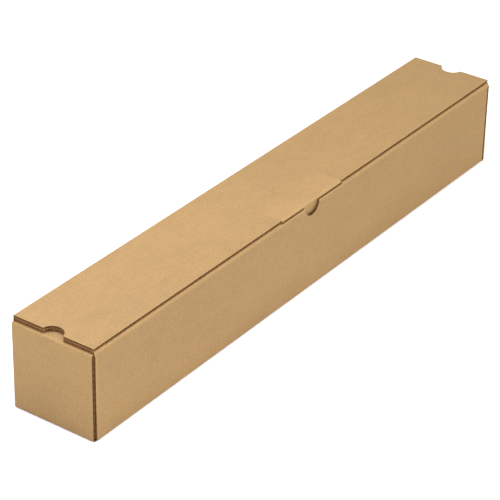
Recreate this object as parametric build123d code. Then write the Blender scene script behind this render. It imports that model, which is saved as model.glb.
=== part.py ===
from build123d import *
import math
import os

# A long case for a rolled poster, die cut and folded from one sheet of corrugated board.
# Sizes are in millimetres. X runs along the case, the front is towards -Y, the hinge of
# the lid is on the rear wall, and the case stands on its base at Z = 0.

# Outside of the closed case
LENGTH = 626.0            # over the two end panels
WIDTH = 88.0              # over the front and rear walls
HEIGHT = 91.5             # to the top of the closed lid

# Corrugated board
BOARD = 2.6               # whole thickness
LINER = 0.4               # each of the two paper facings
MEDIUM = 0.3              # paper of the flutes between the facings
FLUTE_PITCH = 6.0         # from one flute to the next
FLUTE_CREST = 1.4         # flat of a flute where it is glued to a facing
EDGE_DEPTH = 2.5          # how far a cut edge stands open between its facings

# Folds
FOLD_RADIUS = 2.0         # outside of a fold
LAYER_GAP = 0.3           # air between two layers that lie on each other
HINGE_GAP = 0.3           # between the two halves of the crease that the lid turns on

# Lid and the flap under it
LID_SETBACK_END = 2.2     # from an end panel's face to the cut end of the lid
LID_SETBACK_FRONT = 0.9   # from the front wall's face to the cut front edge of the lid
FLAP_REAR_GAP = 0.7       # from the flap's rear edge to the rear wall
PANEL_SETBACK = 0.6       # from a long wall's face to the side edge of an end panel
NOTCH_RADIUS = 11.0       # half-round finger notches, in both ends and in the front wall
CREASE_HOLLOW = 3.0       # the crushed, open end of the lid's crease
CREASE_HOLLOW_DEPTH = 4.0

# Tongue that holds the lid shut
TONGUE_WIDTH = 94.0
TONGUE_LENGTH = 20.0
TONGUE_LEAN = 8.0         # degrees, towards the inside
TONGUE_FOLD_RADIUS = 2.3
TONGUE_CORNER = 6.0       # rounded corners of its free edge
TONGUE_PLAY = 0.1         # from the front wall's inner face to the tongue's fold
RELIEF_WIDTH = 0.8        # cuts that free the tongue's fold from the lid's edge
RELIEF_DEPTH = 1.6        # how far they run past the fold
SLIT_SIDE_PLAY = 1.0      # each side of the tongue
SLIT_OPENING = 4.3        # from the front wall's inner face to the slit's rear edge
SLIT_DROP = 1.0           # from the top of the flap to the slit's front edge

# Flaps inside
DUST_FLAP_LENGTH = 46.0   # end panels' flaps, under the inner flap
EAR_LENGTH = 34.0         # front and rear walls' flaps, behind the end panels

# Allowances of the model itself
PAST = 1.0                # how far a cut, or a piece that is joined on, runs past a face
SAME_POINT = 0.01         # points nearer than this are one

# Levels of the layers, from the lid down
LID_UNDER = HEIGHT - BOARD
FLAP_TOP = LID_UNDER - LAYER_GAP
FLAP_UNDER = FLAP_TOP - BOARD
DUST_TOP = FLAP_UNDER - LAYER_GAP
DUST_UNDER = DUST_TOP - BOARD
EAR_TOP = DUST_UNDER - LAYER_GAP
EAR_UNDER = BOARD + LAYER_GAP

# Places along and across
HALF_LENGTH = LENGTH / 2
FRONT = -WIDTH / 2
REAR = WIDTH / 2
FRONT_INNER = FRONT + BOARD
REAR_INNER = REAR - BOARD
END_INNER = HALF_LENGTH - BOARD
EAR_OUTER = END_INNER - LAYER_GAP
EAR_INNER = EAR_OUTER - BOARD
WALL_END = EAR_OUTER - LAYER_GAP
PANEL_SIDE = REAR - PANEL_SETBACK
LID_HALF_LENGTH = HALF_LENGTH - LID_SETBACK_END
LID_FRONT = FRONT + LID_SETBACK_FRONT
FLAP_REAR = REAR_INNER - FLAP_REAR_GAP
TONGUE_CREASE = FRONT_INNER + TONGUE_PLAY
TONGUE_ROOT = TONGUE_CREASE + TONGUE_FOLD_RADIUS + RELIEF_DEPTH
SLIT_FRONT_TOP = FLAP_TOP - SLIT_DROP
SLIT_REAR = FRONT_INNER + SLIT_OPENING
SLIT_HALF_WIDTH = TONGUE_WIDTH / 2 + SLIT_SIDE_PLAY


def bent_board(outside, inside, folds, radius=FOLD_RADIUS):
    """Section of a bent board between two lines of points, rounded outside at its folds."""
    section = make_face(Polyline(*outside, *reversed(inside), close=True))

    def is_fold(corner):
        return any(math.dist((corner.X, corner.Y), fold) < SAME_POINT for fold in folds)

    return fillet(section.vertices().filter_by(is_fold), radius)


def along_case(section, half_length):
    """A section drawn in Y and Z, run out to both ends of the case."""
    return extrude(Plane.YZ * section, half_length, both=True)


def block(x, y, z):
    """A block between two limits on each axis."""
    size = (x[1] - x[0], y[1] - y[0], z[1] - z[0])
    middle = ((x[0] + x[1]) / 2, (y[0] + y[1]) / 2, (z[0] + z[1]) / 2)
    return Pos(*middle) * Box(*size)


def open_edge(edge, run, across_flutes):
    """What a cut edge lacks between its facings. The plane has its origin at the middle of
    the edge, X along it and Z out of it. Cut along the flutes, an edge is one open groove.
    Cut across them, it shows a row of openings with the flutes standing between them."""
    core = BOARD - 2 * LINER
    if not across_flutes:
        return [extrude(edge * Rectangle(run, core), EDGE_DEPTH, dir=-edge.z_dir)]
    half_core = core / 2
    base = (FLUTE_PITCH - FLUTE_CREST) / 2
    tip = FLUTE_CREST / 2
    opening = Polygon(
        (-tip, MEDIUM - half_core), (tip, MEDIUM - half_core), (base, half_core), (-base, half_core),
        align=None,
    )
    flutes = int((run - FLUTE_CREST) / FLUTE_PITCH)
    openings = []
    for n in range(2 * flutes - 1):
        place = Pos((n + 1 - flutes) * FLUTE_PITCH / 2, 0) * Rot(0, 0, 180 * (n % 2))
        openings.append(extrude(edge * place * opening, EDGE_DEPTH, dir=-edge.z_dir))
    return openings


def finger_notch(x, z_low, z_high):
    """A half-round notch through the layers between two levels, at one end of the case."""
    height = z_high - z_low
    return Pos(x, 0, (z_low + z_high) / 2) * Cylinder(NOTCH_RADIUS, height)


def notch_groove(x, board_middle):
    """The open edge round a finger notch."""
    return Pos(x, 0, board_middle) * Cylinder(NOTCH_RADIUS + EDGE_DEPTH, BOARD - 2 * LINER)


def crease_half(side):
    """Everything on one side of the 45 degree line through the lid's crease, in Y and Z: the
    lid's side is 1 and the wall's is -1. Half of the hinge gap lies beyond the line."""
    reach = 2 * (WIDTH + HEIGHT)
    shift = side * HINGE_GAP / 2 / math.sqrt(2)
    low = (REAR - reach + shift, HEIGHT - reach - shift)
    high = (REAR + reach + shift, HEIGHT + reach - shift)
    far = (REAR - side * reach, HEIGHT + side * reach)
    return make_face(Polyline(low, high, far, close=True))


# Rear wall and lid are one board bent at the crease; the crease line parts them into the
# case's half and the lid's half.
rear_and_lid = bent_board(
    [(REAR, FOLD_RADIUS), (REAR, HEIGHT), (LID_FRONT, HEIGHT)],
    [(REAR_INNER, FOLD_RADIUS), (REAR_INNER, LID_UNDER), (LID_FRONT, LID_UNDER)],
    [(REAR, HEIGHT)],
)
rear_wall = rear_and_lid - crease_half(1)
lid_board = rear_and_lid - crease_half(-1)

# Base with the folds up to both long walls, and the front wall up to its top fold.
base_and_walls = bent_board(
    [(REAR, HEIGHT / 2), (REAR, 0), (FRONT, 0), (FRONT, FLAP_TOP), (0, FLAP_TOP)],
    [(REAR_INNER, HEIGHT / 2), (REAR_INNER, BOARD), (FRONT_INNER, BOARD),
     (FRONT_INNER, FLAP_UNDER), (0, FLAP_UNDER)],
    [(REAR, 0), (FRONT, 0), (FRONT, FLAP_TOP)],
)
case = along_case(base_and_walls, EAR_INNER) + along_case(rear_wall, EAR_INNER)

# Above and below their ears, the long walls run on to the end panels.
wall_ends = along_case(base_and_walls, WALL_END) + along_case(rear_wall, WALL_END)
wall_ends -= block((-HALF_LENGTH, HALF_LENGTH), (FRONT - PAST, REAR + PAST), (EAR_UNDER, EAR_TOP))
case += wall_ends

# Inner flap, folded back from the front wall over the whole opening.
inner_flap = bent_board(
    [(FRONT, FLAP_UNDER), (FRONT, FLAP_TOP), (FLAP_REAR, FLAP_TOP)],
    [(FLAP_REAR, FLAP_UNDER)],
    [(FRONT, FLAP_TOP)],
)
case += along_case(inner_flap, LID_HALF_LENGTH)

# End panels, each with its fold from the base, and at its top the dust flap.
for end in (-1, 1):
    base_strip = end * (EAR_INNER - PAST)
    face = end * HALF_LENGTH
    inner_face = end * END_INNER
    flap_root = end * EAR_OUTER
    flap_tip = end * (END_INNER - DUST_FLAP_LENGTH)
    panel = bent_board(
        [(base_strip, 0), (face, 0), (face, DUST_TOP), (flap_root, DUST_TOP)],
        [(base_strip, BOARD), (inner_face, BOARD), (inner_face, DUST_UNDER), (flap_root, DUST_UNDER)],
        [(face, 0), (face, DUST_TOP)],
    )
    case += extrude(Plane.XZ * panel, PANEL_SIDE, both=True)
    dust_flap = block(
        sorted((flap_tip, inner_face)),
        (FRONT_INNER + LAYER_GAP, REAR_INNER - LAYER_GAP),
        (DUST_UNDER, DUST_TOP),
    )
    case += dust_flap

# Ears, turned in from the ends of both long walls behind the end panels.
for end in (-1, 1):
    for side in (-1, 1):
        outer_face = end * EAR_OUTER
        inner_face = end * EAR_INNER
        wall_end = end * (EAR_INNER - PAST)
        wall_face = side * REAR
        wall_inner = side * REAR_INNER
        tip = side * (REAR - EAR_LENGTH)
        ear = bent_board(
            [(wall_end, wall_face), (outer_face, wall_face), (outer_face, tip)],
            [(wall_end, wall_inner), (inner_face, wall_inner), (inner_face, tip)],
            [(outer_face, wall_face)],
        )
        case += Pos(0, 0, EAR_UNDER) * extrude(Plane.XY * ear, EAR_TOP - EAR_UNDER)

# Slit in the top fold for the tongue, and the half-round notch below it that shows the tongue.
case -= block(
    (-SLIT_HALF_WIDTH, SLIT_HALF_WIDTH),
    (FRONT - PAST, SLIT_REAR),
    (SLIT_FRONT_TOP, FLAP_TOP + PAST),
)
case -= block(
    (-SLIT_HALF_WIDTH, SLIT_HALF_WIDTH),
    (FRONT_INNER, SLIT_REAR),
    (FLAP_UNDER - PAST, FLAP_TOP + PAST),
)
front_notch = Pos(0, (FRONT + FRONT_INNER) / 2, SLIT_FRONT_TOP) * Rot(90, 0, 0)
case -= front_notch * Cylinder(NOTCH_RADIUS, BOARD + PAST)
case -= front_notch * Cylinder(NOTCH_RADIUS + EDGE_DEPTH, BOARD - 2 * LINER)

# Finger notches in both ends of the inner flap.
flap_middle = (FLAP_TOP + FLAP_UNDER) / 2
for end in (-1, 1):
    case -= finger_notch(end * HALF_LENGTH, FLAP_UNDER - LAYER_GAP / 2, FLAP_TOP + PAST)
    case -= notch_groove(end * HALF_LENGTH, flap_middle)

# Cut edges of the case that can be seen.
cut_edges = []
flap_end_run = FLAP_REAR + PAST - FRONT_INNER
for end in (-1, 1):
    flap_end = Plane(
        (end * LID_HALF_LENGTH, FRONT_INNER + flap_end_run / 2, flap_middle),
        x_dir=(0, 1, 0), z_dir=(end, 0, 0),
    )
    cut_edges += open_edge(flap_end, flap_end_run, False)
    for side in (-1, 1):
        panel_side = Plane(
            (end * (HALF_LENGTH + END_INNER) / 2, side * PANEL_SIDE, (DUST_UNDER + BOARD) / 2),
            x_dir=(0, 0, 1), z_dir=(0, side, 0),
        )
        cut_edges += open_edge(panel_side, DUST_UNDER - BOARD, True)
slit_start = NOTCH_RADIUS + EDGE_DEPTH
slit_run = SLIT_HALF_WIDTH - slit_start
for side in (-1, 1):
    slit_edge = Plane(
        (side * (slit_start + slit_run / 2), (FRONT + FRONT_INNER) / 2, SLIT_FRONT_TOP),
        x_dir=(1, 0, 0), z_dir=(0, 0, 1),
    )
    cut_edges += open_edge(slit_edge, slit_run, True)
case -= cut_edges

# Lid, with the finger notches in its ends and the hollow ends of its crease.
lid_middle = HEIGHT - BOARD / 2
lid = along_case(lid_board, LID_HALF_LENGTH)
lid -= block(
    (-TONGUE_WIDTH / 2 - RELIEF_WIDTH, TONGUE_WIDTH / 2 + RELIEF_WIDTH),
    (FRONT - PAST, TONGUE_ROOT),
    (LID_UNDER - PAST, HEIGHT + PAST),
)
for end in (-1, 1):
    lid -= finger_notch(end * HALF_LENGTH, LID_UNDER - PAST, HEIGHT + PAST)
    lid -= notch_groove(end * HALF_LENGTH, lid_middle)
    lid_end = Plane((end * LID_HALF_LENGTH, 0, lid_middle), x_dir=(0, 1, 0), z_dir=(end, 0, 0))
    lid -= open_edge(lid_end, 2 * REAR_INNER, False)
    lid -= block(
        sorted((end * (LID_HALF_LENGTH - CREASE_HOLLOW_DEPTH), end * HALF_LENGTH)),
        (REAR - LINER - CREASE_HOLLOW, REAR - LINER),
        (LID_UNDER - PAST, HEIGHT - LINER),
    )

# Tongue, folded down from the front of the lid and leaning in a little, so that it passes the
# slit as the lid swings.
lean = math.radians(TONGUE_LEAN)
down = (math.sin(lean) * TONGUE_LENGTH, -math.cos(lean) * TONGUE_LENGTH)
across = (math.cos(lean) * BOARD, math.sin(lean) * BOARD)
corner_inner = TONGUE_CREASE + BOARD / math.cos(lean) + BOARD * math.tan(lean)
tip_outer = (TONGUE_CREASE + down[0], HEIGHT + down[1])
tip_inner = (tip_outer[0] + across[0], tip_outer[1] + across[1])
tongue_section = bent_board(
    [(TONGUE_ROOT, HEIGHT), (TONGUE_CREASE, HEIGHT), tip_outer],
    [(TONGUE_ROOT, LID_UNDER), (corner_inner, LID_UNDER), tip_inner],
    [(TONGUE_CREASE, HEIGHT)],
    TONGUE_FOLD_RADIUS,
)
tongue = along_case(tongue_section, TONGUE_WIDTH / 2)
tip_middle = Vector(0, (tip_outer[0] + tip_inner[0]) / 2, (tip_outer[1] + tip_inner[1]) / 2)
tip_corners = [
    tongue.edges().sort_by_distance((side * TONGUE_WIDTH / 2, tip_middle.Y, tip_middle.Z))[0]
    for side in (-1, 1)
]
tongue = fillet(tip_corners, TONGUE_CORNER)
lid += tongue

# Cut edges of the lid that can be seen.
lid_edges = []
front_run = LID_HALF_LENGTH - TONGUE_WIDTH / 2 - RELIEF_WIDTH
for side in (-1, 1):
    front_edge = Plane(
        (side * (LID_HALF_LENGTH - front_run / 2), LID_FRONT, lid_middle),
        x_dir=(1, 0, 0), z_dir=(0, -1, 0),
    )
    lid_edges += open_edge(front_edge, front_run - 2 * LINER, True)
tongue_tip = Plane(tip_middle, x_dir=(1, 0, 0), z_dir=(0, math.sin(lean), -math.cos(lean)))
lid_edges += open_edge(tongue_tip, TONGUE_WIDTH - 2 * TONGUE_CORNER, True)
lid -= lid_edges

os.makedirs("parts", exist_ok=True)
export_step(case, "parts/folded_case.step")
export_step(lid, "parts/lid.step")
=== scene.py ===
import math

import bmesh
import bpy
from mathutils import Matrix, Vector


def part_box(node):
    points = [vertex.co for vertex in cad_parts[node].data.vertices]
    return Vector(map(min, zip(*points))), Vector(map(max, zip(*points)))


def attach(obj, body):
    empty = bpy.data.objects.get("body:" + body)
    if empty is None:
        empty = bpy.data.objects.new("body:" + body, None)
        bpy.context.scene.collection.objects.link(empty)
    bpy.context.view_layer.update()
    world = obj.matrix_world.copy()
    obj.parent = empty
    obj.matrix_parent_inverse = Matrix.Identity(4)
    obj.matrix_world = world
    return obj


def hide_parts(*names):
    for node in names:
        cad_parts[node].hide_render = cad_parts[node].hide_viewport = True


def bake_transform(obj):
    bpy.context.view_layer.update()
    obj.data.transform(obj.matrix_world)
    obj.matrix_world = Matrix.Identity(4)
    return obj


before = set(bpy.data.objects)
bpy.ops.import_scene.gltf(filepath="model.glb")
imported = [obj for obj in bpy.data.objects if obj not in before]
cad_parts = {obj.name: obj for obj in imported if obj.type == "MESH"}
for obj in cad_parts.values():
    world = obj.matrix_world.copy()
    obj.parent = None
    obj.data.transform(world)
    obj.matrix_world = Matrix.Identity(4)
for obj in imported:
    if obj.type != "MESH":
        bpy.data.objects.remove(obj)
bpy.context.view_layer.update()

# Outer facing of the case: one continuous kraft paper, glued over the flutes and folded with
# them from the rear wall, round the base and the front wall, to the flap under the lid. It is
# worked here as it is made, as a flat blank that is cut, given its thickness and then folded.
case_low, case_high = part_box("folded_case")
lid_low, lid_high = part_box("lid")
front, rear = case_low.y, case_high.y
half_length = case_high.x
lid_top = lid_high.z
lid_end = lid_high.x
board = 0.0026
facing = 0.0003
fold_radius = 0.002
layer_gap = 0.0003
flap_rear_gap = 0.0007
flap_top = lid_top - board - layer_gap
flap_under = flap_top - board
flap_rear = rear - board - flap_rear_gap
front_inner = front + board
ear_outer = half_length - board - layer_gap
ear_inner = ear_outer - board
wall_end = ear_outer - layer_gap
ear_low = board + layer_gap
ear_high = flap_under - layer_gap - board - layer_gap
slit_opening = 0.0043
slit_rear = front_inner + slit_opening
slit_side = 0.048
slit_turn = math.radians(35)
notch_radius = 0.011
sheet_columns = 48
crisp_edge = math.radians(40)
sharp_radius = 0.005
# Paler folds, partly wear and partly a painted highlight: how far from a sharp fold they reach, the
# height below which they are weaker because the floor shades them, and how much weaker.
wear_and_highlight_reach = 0.0015
wear_and_highlight_height = 0.04
wear_and_highlight_below = 0.2


def bent_line(corners, radii):
    """Straight runs and arcs of a line bent at its corners: start, heading, length, curvature."""
    corners = [Vector(corner) for corner in corners]
    runs = []
    here = corners[0]
    for before, corner, after, radius in zip(corners, corners[1:], corners[2:], radii):
        heading = (corner - before).normalized()
        turned = (after - corner).normalized()
        turn = math.atan2(heading.x * turned.y - heading.y * turned.x, heading.dot(turned))
        trim = radius * math.tan(abs(turn) / 2)
        start = corner - heading * trim
        runs.append((here, heading, (start - here).dot(heading), 0.0))
        runs.append((start, heading, radius * abs(turn), math.copysign(1 / radius, turn)))
        here = corner + turned * trim
    heading = (corners[-1] - corners[-2]).normalized()
    runs.append((here, heading, (corners[-1] - here).length, 0.0))
    return runs


def run_starts(line):
    """How far along a bent line each of its runs begins."""
    starts = [0.0]
    for run in line[:-1]:
        starts.append(starts[-1] + run[2])
    return starts


def whole(line):
    """The whole length of a bent line."""
    return sum(run[2] for run in line)


def reach(line, run, point):
    """How far along a bent line one of its straight runs comes level with a point."""
    start, heading = line[run][:2]
    return run_starts(line)[run] + (Vector(point) - start).dot(heading)


def on_line(line, distance, depth):
    """The point at a distance along a bent line, and at a depth to its right."""
    for start, heading, length, curvature in line[:-1]:
        if distance < length:
            break
        distance -= length
    else:
        start, heading, length, curvature = line[-1]
    side = Vector((-heading.y, heading.x))
    if curvature == 0:
        return start + heading * distance - side * depth
    angle = curvature * distance
    point = start + (heading * math.sin(angle) + side * (1 - math.cos(angle))) / curvature
    return point - (side * math.cos(angle) - heading * math.sin(angle)) * depth


def fold_gap(line, distance):
    """How far a point of a bent line is from the nearest sharp fold, and zero within one."""
    gaps = [
        max(begin - distance, distance - begin - run[2], 0)
        for run, begin in zip(line, run_starts(line)) if abs(run[3]) > 1 / sharp_radius
    ]
    return min(gaps, default=1.0)


def crease_cuts(line, steps=8):
    """Distances along a bent line at which a sheet is cut, so that its folds come out round."""
    cuts = []
    for run, begin in zip(line, run_starts(line)):
        if run[3]:
            cuts += [begin + run[2] * n / steps for n in range(steps + 1)]
    return cuts


def score(sheet, axis, cuts):
    """Divides a flat sheet at each distance along one of its axes."""
    across = Vector((0, 0, 0))
    across[axis] = 1
    for cut in cuts:
        bmesh.ops.bisect_plane(
            sheet, geom=sheet.verts[:] + sheet.edges[:] + sheet.faces[:],
            plane_co=across * cut, plane_no=across, dist=1e-7,
        )


def blank(across, along, columns=1, rows=1):
    """A flat sheet between two limits each way, divided into even columns and rows."""
    sheet = bmesh.new()
    bmesh.ops.create_grid(sheet, x_segments=columns, y_segments=rows, size=0.5)
    size = (across[1] - across[0], along[1] - along[0], 1)
    bmesh.ops.scale(sheet, vec=size, verts=sheet.verts)
    middle = ((across[0] + across[1]) / 2, (along[0] + along[1]) / 2, 0)
    bmesh.ops.translate(sheet, vec=middle, verts=sheet.verts)
    return sheet


def cut_away(sheet, waste):
    """Takes out the faces of a flat sheet whose middle is waste."""
    loose = [face for face in sheet.faces if waste(*face.calc_center_bounds().xy)]
    bmesh.ops.delete(sheet, geom=loose, context="FACES")


def punch(sheet, centre, radius, waste=lambda x, y: True, sides=40):
    """Punches a round hole through a flat sheet, or the part of it that is waste."""
    middle = Vector((centre[0], centre[1], 0))
    low, high = middle - Vector((radius, radius, 0)), middle + Vector((radius, radius, 0))
    for axis in (0, 1):
        score(sheet, axis, (low[axis], high[axis]))
    square = [
        face for face in sheet.faces
        if all(low[i] < face.calc_center_bounds()[i] < high[i] for i in (0, 1))
    ]
    near = list({item for face in square for item in (*face.verts, *face.edges)}) + square
    for n in range(sides):
        outward = Vector((math.cos(math.tau * n / sides), math.sin(math.tau * n / sides), 0))
        cut = bmesh.ops.bisect_plane(
            sheet, geom=near, plane_co=middle + outward * radius, plane_no=outward, dist=1e-7,
        )
        near = cut["geom"]
    cut_away(sheet, lambda x, y: math.hypot(x - centre[0], y - centre[1]) < radius and waste(x, y))


def fold(sheet, thickness, line_at, place, wave=lambda x, y: 0.0):
    """Gives a flat sheet its thickness and folds it. Each point keeps where it lay in the flat
    sheet and how pale its fold is, for the material: a fold is paler, partly from wear and
    partly as a painted highlight, and less so near the floor, where it lies in shade."""
    flat = sheet.faces[:]
    raised = bmesh.ops.extrude_face_region(sheet, geom=flat)["geom"]
    top = [item for item in raised if isinstance(item, bmesh.types.BMVert)]
    bmesh.ops.translate(sheet, vec=(0, 0, thickness), verts=top)
    bmesh.ops.recalc_face_normals(sheet, faces=sheet.faces)
    lay = sheet.verts.layers.float_vector.new("lay")
    # Each point's paleness from its fold: wear and a painted highlight together.
    wear_and_highlight = sheet.verts.layers.float.new("wear_and_highlight")
    for face in sheet.faces:
        face.smooth = True
        face.material_index = 0 if abs(face.normal.z) > 0.5 else 1
    for edge in sheet.edges:
        edge.smooth = edge.calc_face_angle(0) < crisp_edge
    for vert in sheet.verts:
        x, y, depth = vert.co
        vert[lay] = vert.co
        line = line_at(x, y)
        vert.co = place(x, on_line(line, y, depth + wave(x, y)))
        # A fold's painted highlight, with its wear, is weaker near the floor, where the fold lies
        # in shade.
        wear_and_highlight_share = 1.0 if vert.co.z > wear_and_highlight_height else wear_and_highlight_below
        vert[wear_and_highlight] = max(0, 1 - fold_gap(line, y) / wear_and_highlight_reach) * wear_and_highlight_share
    bmesh.ops.recalc_face_normals(sheet, faces=sheet.faces)


def up_and_over(x, point):
    """A line drawn in Y and Z, at a distance along the case."""
    return (x, point.x, point.y)


# Kraft paper: unbleached pulp with long fibres that lie along the case, faint stripes where
# the flutes show through, and a dry, matt face. Its folds are paler, partly from wear and
# partly as a painted highlight.
flute_pitch = 0.006
fibre_light, fibre_height = 0.24, 0.00003
cloud_light, cloud_height = 0.06, 0.00005
patch_light = 0.03
stripe_light, stripe_height = 0.008, 0.000012
# How much paler a fold is drawn: wear and a painted highlight together.
wear_and_highlight_light = 0.22
speck_light = -0.16


def paper(name, tone, shade, stripes=1.0, rough=0.72, shine=0.4):
    """A paper's material, with its fibres, its flute stripes and its worn folds."""
    material = bpy.data.materials.new(name)
    material.use_nodes = True
    nodes = material.node_tree.nodes
    links = material.node_tree.links
    shader = nodes["Principled BSDF"]
    shader.inputs["Specular IOR Level"].default_value = shine

    def noise(scale, stretch, detail, offset=0.0):
        turn = nodes.new("ShaderNodeMapping")
        turn.inputs["Scale"].default_value = stretch
        turn.inputs["Location"].default_value = (offset, offset * 0.7, offset * 0.3)
        links.new(lay.outputs["Vector"], turn.inputs["Vector"])
        texture = nodes.new("ShaderNodeTexNoise")
        texture.inputs["Scale"].default_value = scale
        texture.inputs["Detail"].default_value = detail
        texture.inputs["Roughness"].default_value = 0.6
        links.new(turn.outputs["Vector"], texture.inputs["Vector"])
        return texture.outputs["Fac"]

    def math_node(kind, first, second):
        node = nodes.new("ShaderNodeMath")
        node.operation = kind
        for socket, value in zip(node.inputs, (first, second)):
            if isinstance(value, (int, float)):
                socket.default_value = value
            else:
                links.new(value, socket)
        return node.outputs["Value"]

    def spread(value, low, high, start=0.3, end=0.7):
        node = nodes.new("ShaderNodeMapRange")
        node.inputs["From Min"].default_value = start
        node.inputs["From Max"].default_value = end
        node.inputs["To Min"].default_value = low
        node.inputs["To Max"].default_value = high
        links.new(value, node.inputs["Value"])
        return node.outputs["Result"]

    lay = nodes.new("ShaderNodeAttribute")
    lay.attribute_name = "lay"
    wear_and_highlight = nodes.new("ShaderNodeAttribute")
    wear_and_highlight.attribute_name = "wear_and_highlight"
    split = nodes.new("ShaderNodeSeparateXYZ")
    links.new(lay.outputs["Vector"], split.inputs["Vector"])

    fibres = noise(scale=1500, stretch=(0.3, 1, 1), detail=4)
    clouds = noise(scale=170, stretch=(0.45, 1, 1), detail=3, offset=0.4)
    patches = noise(scale=16, stretch=(0.6, 1, 1), detail=2, offset=0.9)
    specks = noise(scale=900, stretch=(0.5, 1, 1), detail=1, offset=1.7)
    wave = math_node("SINE", math_node("MULTIPLY", split.outputs["X"], math.tau / flute_pitch), 0)

    light = math_node(
        "ADD", spread(fibres, -fibre_light, fibre_light), spread(clouds, -cloud_light, cloud_light),
    )
    light = math_node("ADD", light, spread(patches, -patch_light, patch_light))
    light = math_node("ADD", light, math_node("MULTIPLY", wave, stripe_light * stripes))
    # Folds are painted paler: partly wear, partly a painted highlight.
    light = math_node("ADD", light, math_node("MULTIPLY", wear_and_highlight.outputs["Fac"], wear_and_highlight_light))
    light = math_node("ADD", light, spread(specks, 0.0, speck_light, start=0.66, end=0.74))

    mix = nodes.new("ShaderNodeMix")
    mix.data_type = "RGBA"
    links.new(spread(light, 0.0, 1.0, -0.3, 0.3), mix.inputs["Factor"])
    mix.inputs["A"].default_value = (*shade, 1)
    mix.inputs["B"].default_value = (*tone, 1)
    links.new(mix.outputs["Result"], shader.inputs["Base Color"])
    links.new(spread(clouds, rough - 0.05, rough + 0.05), shader.inputs["Roughness"])

    hills = math_node("MULTIPLY", clouds, cloud_height)
    height = math_node("ADD", math_node("MULTIPLY", fibres, fibre_height), hills)
    height = math_node("ADD", height, math_node("MULTIPLY", wave, stripe_height * stripes))
    bump = nodes.new("ShaderNodeBump")
    bump.inputs["Strength"].default_value = 1.0
    bump.inputs["Distance"].default_value = 1.0
    links.new(height, bump.inputs["Height"])
    links.new(bump.outputs["Normal"], shader.inputs["Normal"])
    return material


kraft = paper("kraft_facing", tone=(0.37, 0.226, 0.079), shade=(0.2, 0.118, 0.035))
cut_paper = paper(
    "cut_edge", tone=(0.38, 0.2, 0.08), shade=(0.13, 0.06, 0.022), stripes=0, shine=0.1,
)


def piece(name, sheet, body, *nodes, materials=(kraft, cut_paper)):
    """Makes a folded sheet an object that moves with its body; given two bodies, it stays where it
    is made.
    """
    mesh = bpy.data.meshes.new(name)
    sheet.to_mesh(mesh)
    sheet.free()
    made = bpy.data.objects.new(name, mesh)
    bpy.context.scene.collection.objects.link(made)
    for material in materials:
        mesh.materials.append(material)
    if isinstance(body, str):
        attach(made, body)
    else:
        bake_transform(made)
    if nodes:
        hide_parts(*nodes)


def case_sheet(line, first, slit, columns):
    """Cuts one paper of the case from a flat blank. The run of its rear wall comes first, and
    its slit for the tongue begins at a distance along the line."""
    wall, flap = first + 4, first + 6
    ears = [
        sorted(reach(line, run, (0, height)) for height in (ear_low, ear_high))
        for run in (first, wall)
    ]
    wide = reach(line, wall, (0, flap_under)) - fold_radius
    slit_end = reach(line, flap, (slit_rear, 0))
    notch = reach(line, flap, (0, 0))
    sheet = blank((-lid_end, lid_end), (0, whole(line)), columns)
    score(sheet, 1, crease_cuts(line, steps=6) + [slit, slit_end, wide] + ears[0] + ears[1])
    score(sheet, 0, [side * x for side in (-1, 1) for x in (ear_inner, wall_end, slit_side)])
    cut_away(sheet, lambda x, y: abs(x) > wall_end and y < wide)
    for low, high in ears:
        cut_away(sheet, lambda x, y: abs(x) > ear_inner and low < y < high)
    for end in (-1, 1):
        punch(sheet, (end * half_length, notch), notch_radius)
    punch(sheet, (0, slit), notch_radius, lambda x, y: y < slit)
    cut_away(sheet, lambda x, y: abs(x) < slit_side and slit < y < slit_end)
    return sheet


case_line = bent_line(
    [
        (rear, lid_top - fold_radius), (rear, 0), (front, 0),
        (front, flap_top), (flap_rear, flap_top),
    ],
    [fold_radius] * 3,
)
case_slit = run_starts(case_line)[5] + fold_radius * slit_turn
case_outer = case_sheet(case_line, 0, case_slit, sheet_columns)
fold(case_outer, facing, lambda x, y: case_line, up_and_over)
piece("case_outer_facing", case_outer, "case", "folded_case")

# Inner facing of the case: the same paper on the inside of the board, from the crease of the
# lid to the rear edge of the flap. At the crease it runs out along the crushed board.
crease_inset = 0.0009
hinge_gap = 0.0003
inner_radius = 0.0005
rear_inner = rear - board
inner_line = bent_line(
    [
        (rear - crease_inset, lid_top - crease_inset - hinge_gap),
        (rear_inner, lid_top - board - hinge_gap),
        (rear_inner, board), (front_inner, board),
        (front_inner, flap_under), (flap_rear, flap_under),
    ],
    [inner_radius] * 4,
)
lip_low = 0.068
case_inner = case_sheet(inner_line, 2, reach(inner_line, 6, (0, lip_low)), sheet_columns)
fold(case_inner, -facing, lambda x, y: inner_line, up_and_over)
piece("case_inner_facing", case_inner, "case")

# Lip of the front wall below the slit: its inner facing stands up to the cut edge, pressed a
# little thinner by the tongue. The half-round notch that shows the tongue is cut through it.
lip_board = 0.0021
lip_rise = 0.006
lip_radius = 0.01
slit_drop = 0.001
slit_top = flap_top - slit_drop
lip_face = front + lip_board
lip_line = bent_line(
    [(front_inner, lip_low), (lip_face, lip_low + lip_rise), (lip_face, slit_top)], [lip_radius],
)
lip = blank((-slit_side, slit_side), (0, whole(lip_line)), columns=4)
score(lip, 1, crease_cuts(lip_line, steps=2))
punch(lip, (0, whole(lip_line)), notch_radius)
fold(lip, -facing, lambda x, y: lip_line, up_and_over)
piece("front_lip_facing", lip, "case")

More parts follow.
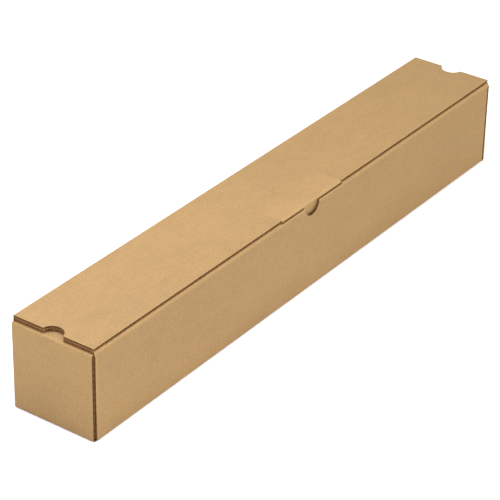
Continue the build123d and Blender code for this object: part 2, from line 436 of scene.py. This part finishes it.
# Flutes of the case: a third, wavy paper glued between the facings. It is crushed in the folds
# and shows at every cut edge, as a row of arches or as an open groove.
flute_paper = 0.0002
flute_swing = (board - 2 * facing - flute_paper) / 2
columns_per_flute = 8
crushed_height = 0.35
crushed_reach = 0.004
lip_height = 0.7
flute_tone = paper(
    "flute_paper", tone=(0.32, 0.16, 0.062), shade=(0.16, 0.075, 0.028), stripes=0, shine=0.1,
)


def flute_depth(along, kept):
    """How deep under the outer face the flutes lie, at a distance across them."""
    return facing + flute_swing * kept * (1 + math.sin(math.tau * along / flute_pitch))


def kept_height(line, distance):
    """How much of their height the flutes keep: they are crushed in a fold and beside it."""
    return min(1, crushed_height + fold_gap(line, distance) / crushed_reach)


def flute_columns(length):
    """How many even columns of a sheet make its flutes round."""
    return round(length / flute_pitch * columns_per_flute)


def case_wave(x, y):
    """How the case's flutes swing between its facings, pressed flatter in the lip."""
    kept = kept_height(case_line, y)
    if abs(x) < slit_side and reach(case_line, 4, (0, lip_low)) < y < case_slit + layer_gap:
        kept = min(kept, lip_height)
    return flute_depth(x, kept)


case_flutes = case_sheet(case_line, 0, case_slit, flute_columns(2 * lid_end))
fold(case_flutes, flute_paper, lambda x, y: case_line, up_and_over, case_wave)
piece("case_flutes", case_flutes, "case", materials=(flute_tone, cut_paper))

# End panels: each is folded up from the base and in again at its top as a dust flap under the
# lid. The flutes run across them, so their two side edges are rows of openings.
dust_top = flap_under - layer_gap
dust_flap_length = 0.046
dust_flap_tip = half_length - board - dust_flap_length
dust_flap_side = rear_inner - layer_gap
neck_gap = 0.0006
rear_setback = 0.0006
near_setback = 0.0014
far_setback = 0.0004
panel_rear = rear - rear_setback
# Cut edges of the near panel, painted near black as the shade of the slot beside them; the far
# panel keeps the plain cut edge.
shaded_panel_cut = paper(
    "panel_cut_edge_painted_shade", tone=(0.11, 0.05, 0.018), shade=(0.05, 0.022, 0.008), stripes=0, shine=0.1,
)
panel_line = bent_line(
    [(wall_end, 0), (half_length, 0), (half_length, dust_top), (dust_flap_tip, dust_top)],
    [fold_radius] * 2,
)
panel_inner_line = bent_line(
    [
        (wall_end, board), (half_length - board, board),
        (half_length - board, dust_top - board), (dust_flap_tip, dust_top - board),
    ],
    [inner_radius] * 2,
)


def mirrored(end):
    """Turns a line drawn for the far end into its place at either end of the case."""
    return lambda y, point: (end * point.x, y, point.y)


def panel_sheet(line, setback, rows=1):
    """Cuts one paper of an end panel, with its strip of the base and its dust flap. Its front
    edge is set back from the face of the front wall."""
    neck = run_starts(line)[4] + neck_gap
    sheet = blank((front + setback, panel_rear), (0, whole(line)), columns=8, rows=rows)
    score(sheet, 1, crease_cuts(line) + [neck])
    score(sheet, 0, [-dust_flap_side, dust_flap_side])
    cut_away(sheet, lambda x, y: abs(x) > dust_flap_side and y > neck)
    return sheet


# The near panel's rims take the painted shade; the far panel's rims are plain cut edges.
for end, where, setback, rim in (
    (-1, "near", near_setback, shaded_panel_cut), (1, "far", far_setback, cut_paper),
):
    panel_outer = panel_sheet(panel_line, setback)
    fold(panel_outer, -facing, lambda x, y: panel_line, mirrored(end))
    piece(f"{where}_end_outer_facing", panel_outer, "case", materials=(kraft, rim))
    panel_inner = panel_sheet(panel_inner_line, setback)
    fold(panel_inner, facing, lambda x, y: panel_inner_line, mirrored(end))
    piece(f"{where}_end_inner_facing", panel_inner, "case", materials=(kraft, rim))
    panel_flutes = panel_sheet(panel_line, setback, flute_columns(whole(panel_line)))
    fold(
        panel_flutes, -flute_paper, lambda x, y: panel_line, mirrored(end),
        lambda x, y: -flute_depth(y, kept_height(panel_line, y)),
    )
    piece(f"{where}_end_flutes", panel_flutes, "case", materials=(flute_tone, rim))

# Ears: the ends of both long walls, turned in behind the end panels. Only their rounded folds
# show, in the slits beside the end panels, where the far part of each fold is painted dark
# brown as painted shade.
ear_length = 0.034
shade_turn = math.radians(45)
# Dark reddish brown painted on the far part of each ear fold, as the shade in the slit beside the
# end panel.
painted_shade_paper = paper(
    "ear_fold_painted_shade", tone=(0.11, 0.045, 0.014), shade=(0.05, 0.02, 0.006), stripes=0, shine=0.1,
)
ear_line = bent_line(
    [(ear_inner, rear), (ear_outer, rear), (ear_outer, rear - ear_length)], [fold_radius],
)
ear_inner_line = bent_line([(ear_inner, rear_inner), (ear_inner, rear - ear_length)], [])
# The painted shade begins this far along the ear's fold.
split = run_starts(ear_line)[1] + fold_radius * shade_turn


def round_corner(end, side):
    """Turns a line drawn in X and Y for one corner into its place at any of the four."""
    return lambda z, point: (end * point.x, side * point.y, z)


def ear_sheet(line, begin=0.0, end=None, rows=1):
    """Cuts one paper of an ear, or the part of it between two distances along its line."""
    sheet = blank((ear_low, ear_high), (begin, end or whole(line)), columns=4, rows=rows)
    score(sheet, 1, crease_cuts(line))
    return sheet


for end, where in ((-1, "near"), (1, "far")):
    for side, wall in ((-1, "front"), (1, "rear")):
        ear_outer_facing = ear_sheet(ear_line, end=split)
        fold(ear_outer_facing, facing, lambda x, y: ear_line, round_corner(end, side))
        piece(f"{where}_{wall}_ear_outer", ear_outer_facing, "case")
        # The far part of the fold, painted dark brown as the shade in the slit.
        ear_painted_shade = ear_sheet(ear_line, split)
        fold(ear_painted_shade, facing, lambda x, y: ear_line, round_corner(end, side))
        piece(f"{where}_{wall}_ear_painted_shade", ear_painted_shade, "case", materials=(painted_shade_paper, cut_paper))
        ear_inner_facing = ear_sheet(ear_inner_line)
        fold(ear_inner_facing, -facing, lambda x, y: ear_inner_line, round_corner(end, side))
        piece(f"{where}_{wall}_ear_inner", ear_inner_facing, "case")
        ear_flutes = ear_sheet(ear_line, rows=flute_columns(whole(ear_line)))
        fold(
            ear_flutes, flute_paper, lambda x, y: ear_line, round_corner(end, side),
            lambda x, y: flute_depth(y, kept_height(ear_line, y)),
        )
        piece(
            f"{where}_{wall}_ear_flutes", ear_flutes, "case", materials=(flute_tone, cut_paper),
        )

# Crease of the lid: the outer facing runs on over the fold between the rear wall and the lid,
# where the board under it is crushed. The real facing bends there each time the lid is opened;
# here it is made once and does not bend with the lid.
crease_line = bent_line(
    [(rear, lid_top - fold_radius), (rear, lid_top), (rear - fold_radius, lid_top)], [fold_radius],
)
crease = blank((-lid_end, lid_end), (0, whole(crease_line)), sheet_columns)
score(crease, 1, crease_cuts(crease_line, steps=10))
score(crease, 0, [-wall_end, wall_end])
cut_away(crease, lambda x, y: abs(x) > wall_end and y < whole(crease_line) / 2)
fold(crease, -facing, lambda x, y: crease_line, up_and_over)
crease_ends = ((0, rear, lid_top - fold_radius), (0, rear - fold_radius, lid_top))
piece("lid_crease_facing", crease, ("case", "lid", *crease_ends))

# Lid: the same board, folded over from the rear wall. Its ends and its front are cut edges,
# each end has a half-round finger notch, and a tongue at its front goes down into the slit.
lid_front = lid_low.y
lid_under = lid_top - board
lid_begin = (rear - fold_radius, lid_top)
lid_crease = (rear - crease_inset, lid_top - crease_inset)
relief_width = 0.0008
relief_depth = 0.0016
tongue_side = 0.047
tongue_corner = 0.006
tongue_root = lid_front + relief_depth
tongue_front = front + 0.0005
tongue_inner_front = front + 0.0013
tongue_nose = 0.0016
tongue_play = 0.0002
tongue_bend = 0.0145
tongue_bend_lean = 0.0006
tongue_length = 0.0198
tongue_tip_lean = 0.0032
tongue_top = [(tongue_front, lid_top), (tongue_front, lid_top - tongue_nose)]
tongue_neck = [
    (lip_face + tongue_play, slit_top - tongue_play),
    (lip_face + tongue_bend_lean, lid_top - tongue_bend),
    (lip_face + tongue_tip_lean, lid_top - tongue_length),
]
tongue_radii = [0.0012, 0.0009, 0.0015, 0.02]
tongue_inner_radii = [inner_radius, inner_radius, 0.003, 0.02]


def inset(corners, depth):
    """The corners of a bent line moved to its left, all but the first."""
    corners = [Vector(corner) for corner in corners]
    sides = []
    for here, after in zip(corners, corners[1:]):
        heading = (after - here).normalized()
        sides.append(Vector((-heading.y, heading.x)))
    sides.append(sides[-1])
    return [
        corner + (before + after) * depth / (1 + before.dot(after))
        for corner, before, after in zip(corners[1:], sides, sides[1:])
    ]


plain_outer = bent_line([lid_begin, (lid_front, lid_top)], [])
tongue_outer = bent_line([lid_begin] + tongue_top + tongue_neck, tongue_radii)
plain_inner = bent_line(
    [lid_crease, (rear_inner, lid_under), (lid_front, lid_under)], [inner_radius],
)
tongue_inner = bent_line(
    [lid_crease, (rear_inner, lid_under)]
    + inset([lid_begin, (tongue_inner_front, lid_top)] + tongue_neck, board),
    tongue_inner_radii,
)


def round_tip(sheet, radius, sides=8):
    """Rounds the two free corners of the tongue in the flat sheet."""
    tip = max(vert.co.y for vert in sheet.verts)
    score(sheet, 1, [tip - radius])
    for side in (-1, 1):
        centre = Vector((side * (tongue_side - radius), tip - radius, 0))
        for n in range(sides):
            angle = math.pi / 2 * (n + 0.5) / sides
            outward = Vector((side * math.cos(angle), math.sin(angle), 0))
            end = [face for face in sheet.faces if face.calc_center_bounds().y > tip - radius]
            geometry = list({item for face in end for item in (*face.verts, *face.edges)}) + end
            bmesh.ops.bisect_plane(
                sheet, geom=geometry, plane_co=centre + outward * radius, plane_no=outward,
                dist=1e-7, clear_outer=True,
            )


def lid_sheet(plain_line, tongue_line, columns):
    """Cuts one paper of the lid from a flat blank."""
    root = reach(plain_line, len(plain_line) - 1, (tongue_root, 0))
    middle = reach(plain_line, len(plain_line) - 1, (0, 0))
    sheet = blank((-lid_end, lid_end), (0, whole(tongue_line)), columns)
    score(sheet, 1, crease_cuts(plain_line, steps=4) + [root, whole(plain_line)])
    score(sheet, 1, crease_cuts(tongue_line))
    relief_side = tongue_side + relief_width
    score(sheet, 0, [side * x for side in (-1, 1) for x in (tongue_side, relief_side)])
    cut_away(sheet, lambda x, y: tongue_side < abs(x) < relief_side and y > root)
    cut_away(sheet, lambda x, y: abs(x) > tongue_side and y > whole(plain_line))
    for end in (-1, 1):
        punch(sheet, (end * half_length, middle), notch_radius)
    round_tip(sheet, tongue_corner)
    return sheet


def lid_fold(plain_line, tongue_line):
    """Which line a point of the lid is folded along: only the tongue turns down."""
    return lambda x, y: tongue_line if abs(x) < tongue_side + relief_width / 2 else plain_line


lid_outer = lid_sheet(plain_outer, tongue_outer, sheet_columns)
fold(lid_outer, -facing, lid_fold(plain_outer, tongue_outer), up_and_over)
piece("lid_outer_facing", lid_outer, "lid", "lid")
lid_inner = lid_sheet(plain_inner, tongue_inner, sheet_columns)
fold(lid_inner, facing, lid_fold(plain_inner, tongue_inner), up_and_over)
piece("lid_inner_facing", lid_inner, "lid")
lid_flutes = lid_sheet(plain_outer, tongue_outer, flute_columns(2 * lid_end))


def lid_wave(x, y):
    """How the lid's flutes swing under its outer facing, crushed at its crease and its fold."""
    kept = min(1, crushed_height + y / crushed_reach)
    if abs(x) < tongue_side + relief_width / 2:
        kept = min(kept, kept_height(tongue_outer, y))
    return -flute_depth(x, kept)


fold(lid_flutes, -flute_paper, lid_fold(plain_outer, tongue_outer), up_and_over, lid_wave)
piece("lid_flutes", lid_flutes, "lid", materials=(flute_tone, cut_paper))

# Floor, light and camera: a plain pale sweep, soft light from above the near end, and the
# photograph's viewpoint.
floor_paper = bpy.data.materials.new("floor")
floor_paper.use_nodes = True
floor_shader = floor_paper.node_tree.nodes["Principled BSDF"]
floor_shader.inputs["Base Color"].default_value = (0.95, 0.95, 0.95, 1)
floor_shader.inputs["Roughness"].default_value = 0.9
floor_size = 6.0
floor_sheet = bmesh.new()
bmesh.ops.create_grid(floor_sheet, x_segments=1, y_segments=1, size=floor_size)
floor_mesh = bpy.data.meshes.new("floor")
floor_sheet.to_mesh(floor_mesh)
floor_sheet.free()
floor_mesh.materials.append(floor_paper)
floor = bpy.data.objects.new("floor", floor_mesh)
bpy.context.scene.collection.objects.link(floor)

sky_strength = 1.25
sky_tilt = (0.28, -0.35, 0)
world = bpy.data.worlds.new("studio")
world.use_nodes = True
sky = world.node_tree.nodes["Background"]
sky.inputs["Color"].default_value = (1, 0.985, 0.94, 1)
towards = world.node_tree.nodes.new("ShaderNodeTexCoord")
tilt = world.node_tree.nodes.new("ShaderNodeVectorMath")
tilt.operation = "DOT_PRODUCT"
tilt.inputs[1].default_value = sky_tilt
level = world.node_tree.nodes.new("ShaderNodeMath")
level.operation = "ADD"
level.inputs[1].default_value = sky_strength
world.node_tree.links.new(towards.outputs["Generated"], tilt.inputs[0])
world.node_tree.links.new(tilt.outputs["Value"], level.inputs[0])
world.node_tree.links.new(level.outputs["Value"], sky.inputs["Strength"])
bpy.context.scene.world = world

lamp_place = Vector((-0.3, 0.0, 0.9))
lamp_target = Vector((-0.25, 0, 0.09))
lamp = bpy.data.lights.new("key", "AREA")
lamp.shape = "SQUARE"
lamp.size = 0.5
lamp.energy = 7
lamp.color = (1.0, 1.02, 1.4)
key_light = bpy.data.objects.new("key", lamp)
key_light.location = lamp_place
key_light.rotation_mode = "QUATERNION"
key_light.rotation_quaternion = (lamp_target - lamp_place).to_track_quat("-Z", "Y")
bpy.context.scene.collection.objects.link(key_light)

image_width = 500
focal_pixels = 2258.089
azimuth = math.radians(-54.596)
elevation = math.radians(30.554)
roll = math.radians(1.084)
distance = 2.11269
shift_right, shift_up = -0.02008, 0.020044
right = Vector((math.cos(azimuth), math.sin(azimuth), 0))
ahead = Vector((-math.sin(azimuth), math.cos(azimuth), 0))
back = Vector((0, 0, math.sin(elevation))) - ahead * math.cos(elevation)
upward = back.cross(right)
camera_right = math.cos(roll) * right + math.sin(roll) * upward
camera_up = math.cos(roll) * upward - math.sin(roll) * right
lens = bpy.data.cameras.new("camera")
lens.sensor_width = 36
lens.lens = focal_pixels * lens.sensor_width / image_width
camera = bpy.data.objects.new("camera", lens)
turn = Matrix((camera_right, camera_up, back)).transposed().to_4x4()
camera_place = back * distance + right * shift_right + upward * shift_up
camera.matrix_world = Matrix.Translation(camera_place) @ turn
bpy.context.scene.collection.objects.link(camera)
bpy.context.scene.camera = camera
bpy.context.scene.view_settings.view_transform = "Standard"
